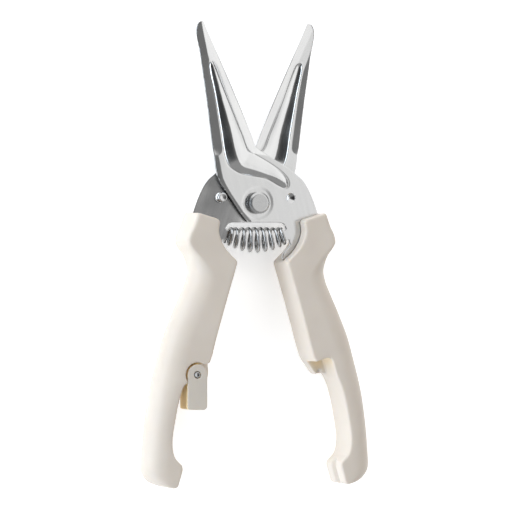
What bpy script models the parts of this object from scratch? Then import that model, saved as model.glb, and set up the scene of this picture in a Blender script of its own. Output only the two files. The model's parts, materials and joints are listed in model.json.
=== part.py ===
"""Floral snips: two pressed steel blades on one rivet, two moulded handles, a return spring and a lock lever.

Each half is drawn closed, in its own half frame in millimetres: the rivet's axis is the origin, the blade
points along +Y, the handle lies at +X and its blade's shear face looks towards -Z.  The front half is that
drawing turned open about the rivet.  The rear half is the same drawing turned over about Y, then opened the
other way, so the two blades cross like scissors.  The part lies flat, with +Z up.
"""
import math

import bmesh
import bpy
from mathutils import Matrix, Vector
from mathutils.geometry import delaunay_2d_cdt

MM = 0.001
OPEN_ANGLE = math.radians(17.5)      # each half, from closed to open
PIVOT = Vector((0.0, 21.49, 8.5))     # rivet axis and shear plane, above the middle of the box
GAP = 0.3                            # between pieces that touch

# Sheet steel, heights above the shear plane
PLATE_INNER = 0.5
PLATE_OUTER = 2.3
BLADE_INNER = 1.0                    # the blade is bent like a shallow roof, so its middle stands higher
BLADE_OUTER = 2.6
BLADE_START = 18.0                   # the flat plate turns into the blade between these two levels
BLADE_FULL = 30.0
EDGE_INNER = 0.15                    # the cutting edge nearly touches the shear plane
EDGE_OUTER = 0.5
LAND_SLOPE = 0.5                     # the ground land beside the cutting edge
SHOULDER = (9.0, 18.0)               # the land fades out between these x
SHOULDER_RISE = 1.8
SPINE_INNER = 0.3
SPINE_OUTER = 1.7
INNER_SLOPE = 0.2
FLANGE_END = 24.0                    # the bent strip along the spine runs from here to the tip
FLANGE_WIDTH = 2.9                   # at the tip
FLANGE_TAPER = 0.045
RIDGE_HEIGHT = 1.7                   # pressed rib on the outer face, a groove on the inner face
RIDGE_SIDE = 3.4                     # from the rib's outline to its full height
RIDGE_ROUND = 1.6
GROOVE_SHARE = 0.85                  # the groove's depth as a share of the rib's height
DISH_RADIUS = 6.4
DISH_DEPTH = 0.4
DISH_SIDE = 0.5

# Pivot and pins
RIVET_HOLE = 3.2
RIVET_SHANK = 3.0
RIVET_HEAD = 4.55
RIVET_FACE = 3.7                     # flat face inside the head's bevel
RIVET_TALL = 3.0
REAR_HEAD_TALL = 2.1
REAR_WASHER = 0.6
STOP_PIN = (15.2, -2.4)
STOP_HOLE = 2.15
STOP_SHANK = 1.85
STOP_POST = 2.05
STOP_SHANK_END = 2.05                # heights above the shear plane
STOP_POST_END = -2.7
DOME = 1.0

# Spring
WIRE = 0.7                           # wire radius
COIL = 4.6                           # coil radius to the wire's middle
SEAT = (8.75, -16.7)                 # middle of the spring seat on the tang's inner edge
TURNS = 9.5
CLOSED_TURNS = 1.25                  # at each end
WIRE_SIDES = 6
STEPS_PER_TURN = 14

# Handles
HALF_THICK = 8.5
BLOCK_EDGE = 1.6                     # edge radius of the block at the top
INNER_EDGE = 1.0                     # chamfer along the inner side
GRIP_START = 25.5                    # the block turns into the rounded grip between these two levels
GRIP_FULL = 37.0
GRIP_ACROSS = 9.5                    # how far the grip's round reaches across it
GRIP_FLAT = 2.2                      # what it leaves flat beside the inner side, at least
TOP_SLANT = -0.02
TOP_MIDDLE = 14.0
TANG_CLEAR = 0.35
GROOVE_DEEP = 2.9                    # V groove down the hooked end
GROOVE_OPEN = 5.2
LEVER_PIN = (6.3, -77.2)             # in the rear half frame
LEVER_HALF_WIDTH = 4.4
LEVER_LENGTH = 14.7
LEVER_BACK = -1.2
LEVER_FRONT = 8.2
LEVER_PIN_RADIUS = 1.2
LEVER_ROUND = 0.8                    # room between the lever's head and its pocket
LOCK_PIN_BACK = -7.6
SHELF = -2.2                         # the rear layer of both handles at the lever ends here
PEG_REACH = 13.6
PEG_RADIUS = 0.85
PEG_END = -4.8
NOTCH_DEEP = -5.4

BLADE_OUTLINE = [
    (0.1, 79.7), (-1.6, 79.9), (-3.3, 78.3), (-4.3, 75.8), (-5.4, 68.2), (-8.4, 48.0), (-11.9, 28.0),
    (-13.5, 18.0), (-13.5, 14.4), (-12.6, 11.2), (-10.6, 5.3), (-8.2, -2.0), (-6.1, -6.3), (-5.0, -7.0),
    (7.2, -10.9), (8.6, -11.9), (9.1, -13.6), (SEAT[0] + 0.25, SEAT[1] + 2.4), (SEAT[0] - 2.3, SEAT[1] + 2.0),
    (SEAT[0] - 2.3, SEAT[1] - 2.0), (SEAT[0] + 0.25, SEAT[1] - 2.4), (8.9, -21.2), (4.5, -24.2),
    (4.1, -26.0), (7.5, -29.5), (7.2, -56.0), (9.0, -58.5), (13.5, -58.5), (15.6, -56.0), (15.4, -36.0),
    (20.5, -27.5), (24.4, -20.0), (24.7, -12.6), (24.7, -7.1), (23.8, -0.7), (22.6, 2.9), (20.6, 6.2),
    (18.4, 9.3), (14.9, 12.9), (9.2, 19.6), (6.9, 22.7), (6.3, 30.2), (3.75, 52.1), (0.75, 74.2)]
CUTTING_EDGE = [(0.1, 79.7), (0.75, 74.2), (6.3, 30.2), (6.9, 22.7), (9.2, 19.6), (14.9, 12.9), (18.4, 9.3)]
SPINE = [(-4.3, 75.8), (-5.4, 68.2), (-8.4, 48.0), (-11.9, 28.0)]
RIDGE_OUTLINE = [
    (-1.4, 62.6), (-0.2, 60.6), (0.85, 44.6), (2.1, 29.7), (3.0, 23.1), (4.6, 20.3), (8.6, 16.1),
    (12.6, 11.6),
    (15.1, 8.0), (16.2, 4.9), (15.6, 2.7), (13.8, 2.2), (11.5, 3.9), (7.0, 8.3), (0.5, 11.7), (-3.4, 13.8),
    (-5.8, 16.0), (-7.3, 18.6), (-7.8, 22.0), (-7.4, 26.0), (-6.3, 33.0), (-4.5, 49.0), (-3.3, 61.0)]
RIDGE_CREST = [
    (-1.9, 60.0), (-1.8, 46.0), (-2.2, 32.0), (-2.6, 22.0), (-1.2, 17.6), (4.5, 13.6),
    (11.0, 8.2), (13.9, 4.7)]

# Handle lines, (distance below the rivet, x)
HANDLE_OUTER = [
    (12.4, 26.6), (18.6, 26.8), (22.5, 27.4), (25.0, 27.3), (26.6, 26.5), (28.4, 24.7), (30.3, 22.7),
    (33.0, 21.4), (37.5, 20.0), (41.0, 19.8), (46.0, 20.3), (56.6, 21.6), (67.4, 22.4), (78.0, 22.1),
    (88.3, 21.5), (98.4, 20.1), (108.4, 18.2), (117.0, 16.3), (121.0, 15.2), (123.3, 13.7), (125.3, 10.5)]
UPPER_INNER = [
    (12.4, 16.8), (13.0, 16.0), (13.8, 15.7), (17.0, 15.1), (20.4, 13.0), (23.1, 10.2), (25.1, 6.8),
    (26.4, 4.0), (27.3, 3.1), (39.0, 3.0), (53.0, 2.8), (65.5, 2.4)]
RIGHT_TAB = [(68.7, 2.5), (74.0, 4.1), (77.7, 5.5), (78.5, 9.2), (79.4, 10.0)]
LEFT_NOSE = [(70.0, -0.5), (76.4, -2.4), (77.6, -2.0), (79.4, 3.0), (81.0, 7.2), (82.6, 10.2)]
LOWER_INNER = [
    (85.0, 10.8), (91.0, 10.6), (98.5, 9.8), (104.8, 8.9), (110.5, 7.0), (113.5, 4.6), (115.2, 1.3),
    (117.0, 0.5), (123.8, 0.4), (125.3, 1.6)]
HANDLE_STATIONS = [
    12.4, 13.0, 13.8, 17.0, 20.4, 23.1, 25.1, 26.4, 27.3, 28.4, 30.3, 33.0, 37.5, 42.0, 49.0, 58.0, 65.5,
    68.7, 70.5, 74.0, 76.4, 77.6, 78.5, 79.4, 81.0, 82.6, 85.0, 91.0, 98.5, 104.8, 108.0, 110.5, 112.4,
    113.8, 115.2, 117.0, 121.0, 123.8, 125.3]


def clear_scene():
    for old in list(bpy.data.objects):
        bpy.data.objects.remove(old, do_unlink=True)


def material(name, colour, metallic, roughness):
    made = bpy.data.materials.new(name)
    made.use_nodes = True
    shader = made.node_tree.nodes["Principled BSDF"]
    shader.inputs["Base Color"].default_value = (*colour, 1.0)
    shader.inputs["Metallic"].default_value = metallic
    shader.inputs["Roughness"].default_value = roughness
    return made


def front_frame():
    """Half frame to world for the front half: opened anticlockwise, seen from above."""
    return Matrix.Translation(PIVOT * MM) @ Matrix.Rotation(OPEN_ANGLE, 4, "Z")


def rear_frame():
    """Half frame to world for the rear half: turned over about the tool's long axis, opened clockwise."""
    turned_over = Matrix.Rotation(math.pi, 4, "Y")
    return Matrix.Translation(PIVOT * MM) @ Matrix.Rotation(-OPEN_ANGLE, 4, "Z") @ turned_over


def flat_frame():
    """A frame at the rivet that is not turned, for pieces that straddle both halves."""
    return Matrix.Translation(PIVOT * MM)


def add_object(name, verts, faces, frame, finish, smooth_angle=40.0):
    """Makes an object from millimetre coordinates, with its origin at the frame's origin."""
    mesh = bpy.data.meshes.new(name)
    mesh.from_pydata([Vector(v) * MM for v in verts], [], faces)
    tidy = bmesh.new()
    tidy.from_mesh(mesh)
    bmesh.ops.recalc_face_normals(tidy, faces=tidy.faces)
    tidy.to_mesh(mesh)
    tidy.free()
    mesh.shade_smooth()
    mesh.set_sharp_from_angle(angle=math.radians(smooth_angle))
    piece = bpy.data.objects.new(name, mesh)
    bpy.context.scene.collection.objects.link(piece)
    piece.matrix_world = frame
    if finish:
        mesh.materials.append(finish)
    return piece


def cut(piece, name, verts, faces, frame):
    """Takes a closed shape out of a piece."""
    cutter = add_object(name, verts, faces, frame, None)
    cutter.hide_render = True
    cutter.display_type = "WIRE"
    hole = piece.modifiers.new(name, "BOOLEAN")
    hole.operation = "DIFFERENCE"
    hole.solver = "EXACT"
    hole.object = cutter


# --- outlines and curves ---------------------------------------------------------------------------------

def smooth_curve(points):
    """A curve through (t, value) points that never overshoots them."""
    slopes = [(b[1] - a[1]) / (b[0] - a[0]) for a, b in zip(points, points[1:])]
    tangents = [slopes[0]]
    for left, right in zip(slopes, slopes[1:]):
        tangents.append(2 * left * right / (left + right) if left * right > 0 else 0.0)
    tangents.append(slopes[-1])

    def value(t):
        index = 0
        while index < len(points) - 2 and t > points[index + 1][0]:
            index += 1
        (t0, v0), (t1, v1) = points[index], points[index + 1]
        span = t1 - t0
        u = (t - t0) / span
        m0, m1 = tangents[index] * span, tangents[index + 1] * span
        return (v0 * (2 * u ** 3 - 3 * u ** 2 + 1) + m0 * (u ** 3 - 2 * u ** 2 + u)
                + v1 * (3 * u ** 2 - 2 * u ** 3) + m1 * (u ** 3 - u ** 2))
    return value


def circle(centre, radius, count, start=0.0):
    turn = 2 * math.pi / count
    return [(centre[0] + radius * math.cos(start + i * turn), centre[1] + radius * math.sin(start + i * turn))
            for i in range(count)]


def arc(centre, radius, first, last, count):
    """Points from one angle to another, in degrees."""
    steps = [math.radians(first + (last - first) * i / count) for i in range(count + 1)]
    return [(centre[0] + radius * math.cos(a), centre[1] + radius * math.sin(a)) for a in steps]


def subdivide(points, longest, closed):
    """Adds points so that no step of a line is longer than given."""
    ends = list(zip(points, points[1:] + points[:1])) if closed else list(zip(points, points[1:]))
    made = []
    for a, b in ends:
        count = max(1, math.ceil(math.dist(a, b) / longest))
        made += [(a[0] + (b[0] - a[0]) * i / count, a[1] + (b[1] - a[1]) * i / count) for i in range(count)]
    return made if closed else made + [points[-1]]


def line_distance(point, line):
    """Distance from a point to an open line."""
    best = math.inf
    for a, b in zip(line, line[1:]):
        run = (b[0] - a[0], b[1] - a[1])
        along = ((point[0] - a[0]) * run[0] + (point[1] - a[1]) * run[1]) / (run[0] ** 2 + run[1] ** 2)
        along = min(1.0, max(0.0, along))
        best = min(best, math.dist(point, (a[0] + along * run[0], a[1] + along * run[1])))
    return best


def inside(point, loop):
    """True where a point lies within a closed loop."""
    found = False
    for (x0, y0), (x1, y1) in zip(loop, loop[1:] + loop[:1]):
        if (y0 > point[1]) != (y1 > point[1]):
            if point[0] < x0 + (point[1] - y0) * (x1 - x0) / (y1 - y0):
                found = not found
    return found


def ramp(value, low, high):
    """0 below low, 1 above high, straight between."""
    return min(1.0, max(0.0, (value - low) / (high - low)))


# --- blades ----------------------------------------------------------------------------------------------

def ridge_lift(point):
    """Height of the pressed rib above the sheet: a rounded roof over its outline."""
    if not inside(point, RIDGE_OUTLINE):
        return 0.0
    deep = line_distance(point, RIDGE_OUTLINE + RIDGE_OUTLINE[:1])
    rise = min(1.0, deep / RIDGE_SIDE)
    return RIDGE_HEIGHT * (1 - (1 - rise) ** RIDGE_ROUND)


def outer_height(point):
    blade = ramp(point[1], BLADE_START, BLADE_FULL)
    height = PLATE_OUTER + (BLADE_OUTER - PLATE_OUTER) * blade
    edge_rise = SHOULDER_RISE * ramp(point[0], *SHOULDER)
    height = min(height, EDGE_OUTER + edge_rise + LAND_SLOPE * line_distance(point, CUTTING_EDGE))
    flange_width = FLANGE_WIDTH + (BLADE_OUTLINE[0][1] - point[1]) * FLANGE_TAPER
    flange = SPINE_OUTER + (BLADE_OUTER - SPINE_OUTER) * line_distance(point, SPINE) / flange_width
    if point[1] > FLANGE_END:
        height = min(height, flange)
    if math.dist(point, (0.0, 0.0)) < DISH_RADIUS:
        height -= DISH_DEPTH
    return height + ridge_lift(point)


def inner_height(point):
    blade = ramp(point[1], BLADE_START, BLADE_FULL)
    height = PLATE_INNER + (BLADE_INNER - PLATE_INNER) * blade
    height = min(height, EDGE_INNER + INNER_SLOPE * line_distance(point, CUTTING_EDGE))
    if point[1] > FLANGE_END:
        height = min(height, SPINE_INNER + INNER_SLOPE * line_distance(point, SPINE))
    return height + GROOVE_SHARE * ridge_lift(point)


def make_sheet(name, frame, finish):
    """Fills the blade's outline with triangles, then gives them the two faces' heights."""
    outline = subdivide(BLADE_OUTLINE, 9.0, True)
    holes = [circle((0, 0), RIVET_HOLE, 24), circle(STOP_PIN, STOP_HOLE, 16)]
    dish = [circle((0, 0), DISH_RADIUS - 0.01, 24), circle((0, 0), DISH_RADIUS + DISH_SIDE, 24)]
    loops = [outline, *holes, *dish, subdivide(RIDGE_OUTLINE, 8.0, True)]
    crest = subdivide(RIDGE_CREST, 8.0, False)
    points, edges = [], []
    for loop in loops:
        first = len(points)
        points += loop
        edges += [(first + i, first + (i + 1) % len(loop)) for i in range(len(loop))]
    first = len(points)
    points += crest
    edges += [(first + i, first + i + 1) for i in range(len(crest) - 1)]
    flat, _, triangles, *_ = delaunay_2d_cdt([Vector(p) for p in points], edges, [], 0, 1e-5)
    kept = []
    for triangle in triangles:
        middle = tuple(sum(flat[i][axis] for i in triangle) / 3 for axis in (0, 1))
        if inside(middle, outline) and not any(inside(middle, hole) for hole in holes):
            kept.append(tuple(triangle))
    used = {}
    for triangle in kept:
        for a, b in zip(triangle, triangle[1:] + triangle[:1]):
            used[(a, b)] = True
    rim = [(a, b) for a, b in used if (b, a) not in used]
    count = len(flat)
    verts = [(p[0], p[1], outer_height(p)) for p in flat] + [(p[0], p[1], inner_height(p)) for p in flat]
    faces = list(kept) + [tuple(count + i for i in reversed(t)) for t in kept]
    faces += [(b, a, count + a, count + b) for a, b in rim]
    sheet = add_object(name, verts, faces, frame, finish, 25.0)
    clean = bmesh.new()
    clean.from_mesh(sheet.data)
    bmesh.ops.delete(clean, geom=[v for v in clean.verts if not v.link_faces], context="VERTS")
    clean.to_mesh(sheet.data)
    clean.free()
    return sheet


# --- turned and extruded pieces --------------------------------------------------------------------------

def turned(name, profile, frame, finish, count=24, centre=(0.0, 0.0)):
    """Spins an open (radius, z) profile whose two ends lie on the axis."""
    verts, faces = [], []
    ring = len(profile) - 2
    verts.append((centre[0], centre[1], profile[0][1]))
    for radius, z in profile[1:-1]:
        verts += [(x, y, z) for x, y in circle(centre, radius, count)]
    verts.append((centre[0], centre[1], profile[-1][1]))
    last = len(verts) - 1
    for i in range(count):
        j = (i + 1) % count
        faces.append((0, 1 + j, 1 + i))
        for level in range(ring - 1):
            low, high = 1 + level * count, 1 + (level + 1) * count
            faces.append((low + i, low + j, high + j, high + i))
        top = 1 + (ring - 1) * count
        faces.append((top + i, top + j, last))
    return add_object(name, verts, faces, frame, finish)


def washer(name, inner, outer, low, high, frame, finish, centre=(0.0, 0.0), count=24):
    """A flat ring."""
    corners = [(inner, low), (outer, low), (outer, high), (inner, high)]
    verts = [(x, y, z) for radius, z in corners for x, y in circle(centre, radius, count)]
    faces = []
    for side in range(4):
        a, b = side * count, (side + 1) % 4 * count
        faces += [(a + i, a + (i + 1) % count, b + (i + 1) % count, b + i) for i in range(count)]
    return add_object(name, verts, faces, frame, finish)


def prism(outline, low, high):
    """Vertices and faces of an outline raised between two heights."""
    count = len(outline)
    verts = [(x, y, low) for x, y in outline] + [(x, y, high) for x, y in outline]
    faces = [tuple(reversed(range(count))), tuple(range(count, 2 * count))]
    faces += [(i, (i + 1) % count, count + (i + 1) % count, count + i) for i in range(count)]
    return verts, faces


def make_stop_pin(name, frame, finish):
    """A shouldered pin: its shank sits in its own blade, its domed post stands in the other blade's way."""
    dome = [(STOP_POST * math.cos(a), STOP_POST_END - DOME * math.sin(a))
            for a in (math.radians(t) for t in (75, 50, 25, 0))]
    step = PLATE_INNER - GAP
    profile = [(0.0, STOP_POST_END - DOME), *dome, (STOP_POST, step), (STOP_SHANK, step),
               (STOP_SHANK, STOP_SHANK_END - 0.45), (STOP_SHANK * 0.7, STOP_SHANK_END - 0.1),
               (0.0, STOP_SHANK_END)]
    return turned(name, profile, frame, finish, 16, STOP_PIN)


def make_rivet(finish):
    """The headed rivet that both blades turn on, closed over a washer at the back."""
    seat = PLATE_OUTER - DISH_DEPTH + GAP
    back = -(seat + REAR_WASHER + GAP)
    low, high = back - REAR_HEAD_TALL, seat + RIVET_TALL
    profile = [(0.0, low), (RIVET_FACE, low), (RIVET_HEAD, low + 0.6), (RIVET_HEAD, back),
               (RIVET_SHANK, back), (RIVET_SHANK, seat), (RIVET_HEAD, seat), (RIVET_HEAD, high - 0.8),
               (RIVET_FACE, high), (0.0, high)]
    return turned("pivot_rivet", profile, flat_frame(), finish)


# --- handles ---------------------------------------------------------------------------------------------

def handle_ring(down, inner, outer):
    """One level of a handle: flat inside, and outside it grows from a block's edge to a full round."""
    x_in, x_out = inner(down), outer(down)
    grip = ramp(down, GRIP_START, GRIP_FULL)
    across = BLOCK_EDGE + grip * (min(GRIP_ACROSS, x_out - x_in - GRIP_FLAT) - BLOCK_EDGE)
    high = BLOCK_EDGE + grip * (HALF_THICK - 0.4 - BLOCK_EDGE)
    slant = TOP_SLANT * (1 - ramp(down, HANDLE_STATIONS[0], HANDLE_STATIONS[0] + 10.0))
    front = [(x_in, HALF_THICK - INNER_EDGE), (x_in + INNER_EDGE, HALF_THICK)]
    front += [(x_out - across + x, HALF_THICK - high + z * high / across)
              for x, z in reversed(arc((0, 0), across, 0, 90, 6))]
    ring = front + [(x, -z) for x, z in reversed(front)]
    return [(x, -down + slant * (x - TOP_MIDDLE), z) for x, z in ring]


def make_handle(name, inner_points, frame, finish):
    """Joins the levels of one handle."""
    inner, outer = smooth_curve(inner_points), smooth_curve(HANDLE_OUTER)
    rings = [handle_ring(down, inner, outer) for down in HANDLE_STATIONS]
    size = len(rings[0])
    verts = [v for ring in rings for v in ring]
    faces = [tuple(range(size)), tuple(reversed(range(len(verts) - size, len(verts))))]
    for level in range(len(rings) - 1):
        a, b = level * size, (level + 1) * size
        faces += [(a + i, b + i, b + (i + 1) % size, a + (i + 1) % size) for i in range(size)]
    handle = add_object(name, verts, faces, frame, finish, 35.0)
    slot = [(2.5, -9.0), (2.5, -26.4), (4.0, -26.5), (7.1, -29.6), (6.8, -56.2), (8.8, -58.9), (13.7, -58.9),
            (16.0, -56.2), (15.8, -36.1), (20.8, -27.7), (24.8, -20.1), (25.1, -9.0)]
    cut(handle, name + "_tang_slot", *prism(slot, PLATE_INNER - TANG_CLEAR, PLATE_OUTER + TANG_CLEAR), frame)
    groove = [(-3.0, -GROOVE_OPEN), (GROOVE_DEEP, 0.0), (-3.0, GROOVE_OPEN)]
    verts = [(x, -112.0, z) for x, z in groove] + [(x, -128.0, z) for x, z in groove]
    faces = [(0, 2, 1), (3, 4, 5), (0, 1, 4, 3), (1, 2, 5, 4), (2, 0, 3, 5)]
    cut(handle, name + "_groove", verts, faces, frame)
    return handle


def make_right_handle(finish):
    """The right handle: a shelf over the lever's end, and a rear tab with the notch that its peg enters."""
    handle = make_handle("right_handle", UPPER_INNER + RIGHT_TAB + LOWER_INNER, front_frame(), finish)
    shelf = [(-4.0, -71.1), (8.4, -71.1), *arc((8.4, -73.0), 1.9, 60, 0, 2), (10.3, -80.5), (-4.0, -80.5)]
    cut(handle, "shelf_cut", *prism(shelf, SHELF, HALF_THICK + 2), front_frame())
    peg = (PEG_REACH - LEVER_PIN[0], LEVER_PIN[1])
    wide = PEG_RADIUS + GAP
    notch = [(peg[0] - wide - 0.25, -80.5), *arc(peg, wide, 180, 0, 6), (peg[0] + wide, -80.5)]
    cut(handle, "peg_notch", *prism(notch, NOTCH_DEEP, SHELF + 1), front_frame())
    return handle


def make_left_handle(finish):
    """The left handle: a pocket round the lever's head, and a rear nose that holds its pin."""
    handle = make_handle("left_handle", UPPER_INNER + LEFT_NOSE + LOWER_INNER, rear_frame(), finish)
    head = arc(LEVER_PIN, LEVER_HALF_WIDTH + LEVER_ROUND, 108, -50, 10)
    pocket = [(-7.0, -63.0), (2.3, -63.0), (2.6, -70.9), *head, (9.2, -84.5), (-7.0, -84.5)]
    cut(handle, "lever_pocket", *prism(pocket, -HALF_THICK - 2, -SHELF), rear_frame())
    bore = circle(LEVER_PIN, LEVER_PIN_RADIUS + GAP, 16)
    cut(handle, "pin_bore", *prism(bore, -SHELF - 1, HALF_THICK + 2), rear_frame())
    return handle


# --- lock lever ------------------------------------------------------------------------------------------

def lever_frame():
    """The lever's own frame: origin on its pin, hanging straight down the part."""
    pin = rear_frame() @ Vector((LEVER_PIN[0] * MM, LEVER_PIN[1] * MM, 0.0))
    return Matrix.Translation(pin)


def make_lever(finish):
    """A flat lever with a round head and a bore, and a peg on its back near the free end."""
    half, low, small, large = LEVER_HALF_WIDTH, 0.4 - LEVER_LENGTH, 1.0, 1.8
    outline = [*arc((0, 0), half, 0, 180, 12), (-half, low + small),
               *arc((-half + small, low + small - 0.2), small, 210, 250, 2),
               *arc((half - large, low + large - 0.4), large, 270, 360, 4)]
    lever = add_object("lock_lever", *prism(outline, LEVER_BACK, LEVER_FRONT), lever_frame(), finish)
    bore = circle((0, 0), LEVER_PIN_RADIUS + GAP, 16)
    cut(lever, "lever_bore", *prism(bore, LEVER_BACK - 1, LEVER_FRONT + 1), lever_frame())
    peg = add_object("peg", *prism(circle((0, -PEG_REACH), PEG_RADIUS, 12), PEG_END, LEVER_BACK + 1),
                     lever_frame(), None)
    peg.hide_render = True
    peg.display_type = "WIRE"
    joined = lever.modifiers.new("peg", "BOOLEAN")
    joined.operation = "UNION"
    joined.object = peg
    return lever


# --- spring ----------------------------------------------------------------------------------------------

def spring_axis():
    """The bowed axis of the open spring: a centre and two end angles of an arc between the two seats."""
    seat = Matrix.Rotation(OPEN_ANGLE, 2) @ Vector((SEAT[0] - GAP - WIRE, SEAT[1]))
    radius = seat.x / math.sin(OPEN_ANGLE)
    return Vector((0.0, seat.y + radius * math.cos(OPEN_ANGLE))), radius


def make_spring(finish):
    """A round wire wound round an arc, with closed turns at both ends."""
    centre, radius = spring_axis()
    length = 2 * OPEN_ANGLE * radius
    closed = CLOSED_TURNS * (2 * WIRE + GAP)
    steps = int(TURNS * STEPS_PER_TURN)
    centres, rings = [], []
    for step in range(steps + 1):
        turn = step / STEPS_PER_TURN
        if turn < CLOSED_TURNS:
            along = closed * turn / CLOSED_TURNS
        elif turn > TURNS - CLOSED_TURNS:
            along = length - closed * (TURNS - turn) / CLOSED_TURNS
        else:
            along = closed + (length - 2 * closed) * (turn - CLOSED_TURNS) / (TURNS - 2 * CLOSED_TURNS)
        swing = -OPEN_ANGLE + along / radius
        outward = Vector((math.sin(swing), -math.cos(swing), 0.0))
        lift = 2 * math.pi * turn
        spoke = outward * math.cos(lift) + Vector((0, 0, 1)) * math.sin(lift)
        heart = Vector((centre.x, centre.y, 0.0)) + outward * radius
        centres.append(heart + spoke * COIL)
        rings.append((spoke, Vector((math.cos(swing), math.sin(swing), 0.0))))
    verts, faces = [], []
    for point, (spoke, along_axis) in zip(centres, rings):
        for side in range(WIRE_SIDES):
            angle = 2 * math.pi * side / WIRE_SIDES
            verts.append(point + (spoke * math.cos(angle) + along_axis * math.sin(angle)) * WIRE)
    for step in range(steps):
        a, b = step * WIRE_SIDES, (step + 1) * WIRE_SIDES
        faces += [(a + i, a + (i + 1) % WIRE_SIDES, b + (i + 1) % WIRE_SIDES, b + i)
                  for i in range(WIRE_SIDES)]
    faces += [tuple(reversed(range(WIRE_SIDES))), tuple(range(steps * WIRE_SIDES, (steps + 1) * WIRE_SIDES))]
    return add_object("return_spring", verts, faces, flat_frame(), finish)


def main():
    clear_scene()
    steel = (0.62, 0.62, 0.61)
    cream = (0.86, 0.82, 0.76)

    make_sheet("front_blade", front_frame(), material("front_blade_steel", steel, 1.0, 0.25))
    make_sheet("rear_blade", rear_frame(), material("rear_blade_steel", steel, 1.0, 0.25))
    make_rivet(material("rivet_steel", (0.60, 0.60, 0.59), 1.0, 0.35))
    washer_steel = material("washer_steel", steel, 1.0, 0.4)
    washer("blade_washer", RIVET_HOLE, 6.2, -0.2, 0.2, flat_frame(), washer_steel)
    back = -(PLATE_OUTER - DISH_DEPTH + GAP)
    washer("rear_washer", RIVET_HOLE, 5.4, back - REAR_WASHER, back, flat_frame(),
           material("rear_washer_steel", steel, 1.0, 0.35))
    make_stop_pin("front_stop_pin", front_frame(), material("front_pin_steel", steel, 1.0, 0.2))
    make_stop_pin("rear_stop_pin", rear_frame(), material("rear_pin_steel", steel, 1.0, 0.2))
    make_spring(material("spring_steel", (0.55, 0.55, 0.55), 1.0, 0.18))
    make_right_handle(material("right_handle_plastic", cream, 0.0, 0.42))
    make_left_handle(material("left_handle_plastic", cream, 0.0, 0.42))
    make_lever(material("lever_plastic", (0.84, 0.80, 0.74), 0.0, 0.42))

    depth = LEVER_BACK - GAP
    washer("lever_washer", LEVER_PIN_RADIUS + GAP, 3.4, depth - 0.4, depth, lever_frame(),
           material("lever_washer_steel", steel, 1.0, 0.4), (0.0, 0.0), 16)
    pin = [(0.0, LOCK_PIN_BACK), (LEVER_PIN_RADIUS, LOCK_PIN_BACK), (LEVER_PIN_RADIUS, LEVER_FRONT - 0.1),
           (LEVER_PIN_RADIUS * 0.8, LEVER_FRONT + 0.1), (0.0, LEVER_FRONT + 0.1)]
    turned("lock_pin", pin, lever_frame(), material("lock_pin_steel", steel, 1.0, 0.25), 16)


main()
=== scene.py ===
"""Floral snips, the visual model: pressed blades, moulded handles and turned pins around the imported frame.

Outlines are in millimetres in the closed half frame: the rivet is the origin, the blade points along +Y,
the handle lies at +X, and heights are above the shear plane.  The front half is that drawing turned open
about the rivet, and the rear half is the same drawing turned over, then turned open the other way.
"""
import json
import math

import bmesh
import bpy
import numpy as np
from mathutils import Matrix, Vector
from mathutils.geometry import delaunay_2d_cdt


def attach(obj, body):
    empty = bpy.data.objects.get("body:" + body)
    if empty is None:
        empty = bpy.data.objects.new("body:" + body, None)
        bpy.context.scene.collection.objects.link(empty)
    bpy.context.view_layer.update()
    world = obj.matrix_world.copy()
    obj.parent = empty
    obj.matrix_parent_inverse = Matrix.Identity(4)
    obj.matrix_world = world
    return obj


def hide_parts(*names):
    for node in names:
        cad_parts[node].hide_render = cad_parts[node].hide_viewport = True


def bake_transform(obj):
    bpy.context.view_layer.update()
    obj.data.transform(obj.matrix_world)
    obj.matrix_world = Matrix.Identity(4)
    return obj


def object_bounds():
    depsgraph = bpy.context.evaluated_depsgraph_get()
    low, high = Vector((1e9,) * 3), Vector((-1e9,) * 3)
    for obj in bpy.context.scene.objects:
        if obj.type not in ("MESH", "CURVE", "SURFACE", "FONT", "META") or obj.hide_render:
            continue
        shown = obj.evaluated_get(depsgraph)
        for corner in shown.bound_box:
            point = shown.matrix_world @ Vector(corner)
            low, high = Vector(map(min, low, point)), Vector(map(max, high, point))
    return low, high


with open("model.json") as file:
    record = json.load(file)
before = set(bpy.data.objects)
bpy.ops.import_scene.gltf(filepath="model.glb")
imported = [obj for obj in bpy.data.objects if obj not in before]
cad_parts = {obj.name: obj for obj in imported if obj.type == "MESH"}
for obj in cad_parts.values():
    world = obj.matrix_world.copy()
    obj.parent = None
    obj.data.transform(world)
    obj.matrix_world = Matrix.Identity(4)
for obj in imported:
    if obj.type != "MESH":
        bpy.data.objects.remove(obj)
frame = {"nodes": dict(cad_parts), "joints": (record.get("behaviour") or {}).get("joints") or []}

CAD_LOW, CAD_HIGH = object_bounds()
JOINTS = {joint["name"]: joint for joint in frame["joints"]}

MM = 0.001
GAP = 0.3
PIVOT = Vector(JOINTS["blade_pivot"]["pos_m"])
OPEN_ANGLE = math.radians(JOINTS["blade_pivot"]["range_deg"][1] / 2)
LEVER_PIN = Vector(JOINTS["lock_pivot"]["pos_m"])

# Angles in degrees past which an edge stays hard
CARVED_EDGE = 30.0
TURNED_EDGE = 38.0
WIRE_EDGE = 50.0

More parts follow.
